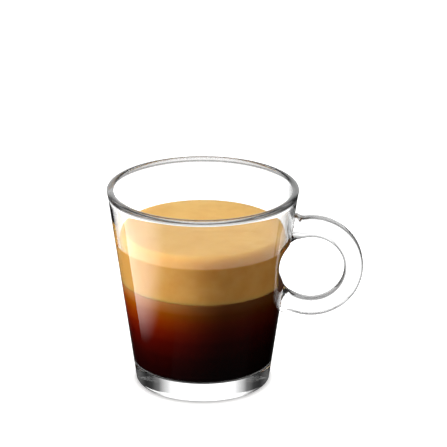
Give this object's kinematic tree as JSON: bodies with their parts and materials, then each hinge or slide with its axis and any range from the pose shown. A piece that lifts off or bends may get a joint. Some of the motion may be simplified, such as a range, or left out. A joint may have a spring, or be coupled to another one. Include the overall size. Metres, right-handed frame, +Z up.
{
  "type": "double espresso in a glass cup",
  "caption": "Dark double espresso under a deep layer of crema, in a clear tapered glass cup with a thick floor and a ring handle that a finger goes through.",
  "frame": {"origin": "centre of the cup's flat underside, on the cup's axis", "axes": "+Z up along the cup's axis, +X from the axis towards the handle, +Y away from the picture's camera"},
  "size_m": [0.0841, 0.0628, 0.0668],
  "materials": {
    "glass": "clear, colourless and fire-polished",
    "coffee": "a dark red-brown liquid, amber just under the crema and near black at the floor",
    "crema": "a fine golden tan foam, softly glossy on top"
  },
  "bodies": {
    "root": {"glass_cup": "glass", "coffee": "coffee", "crema": "crema"}
  },
  "joints": []
}
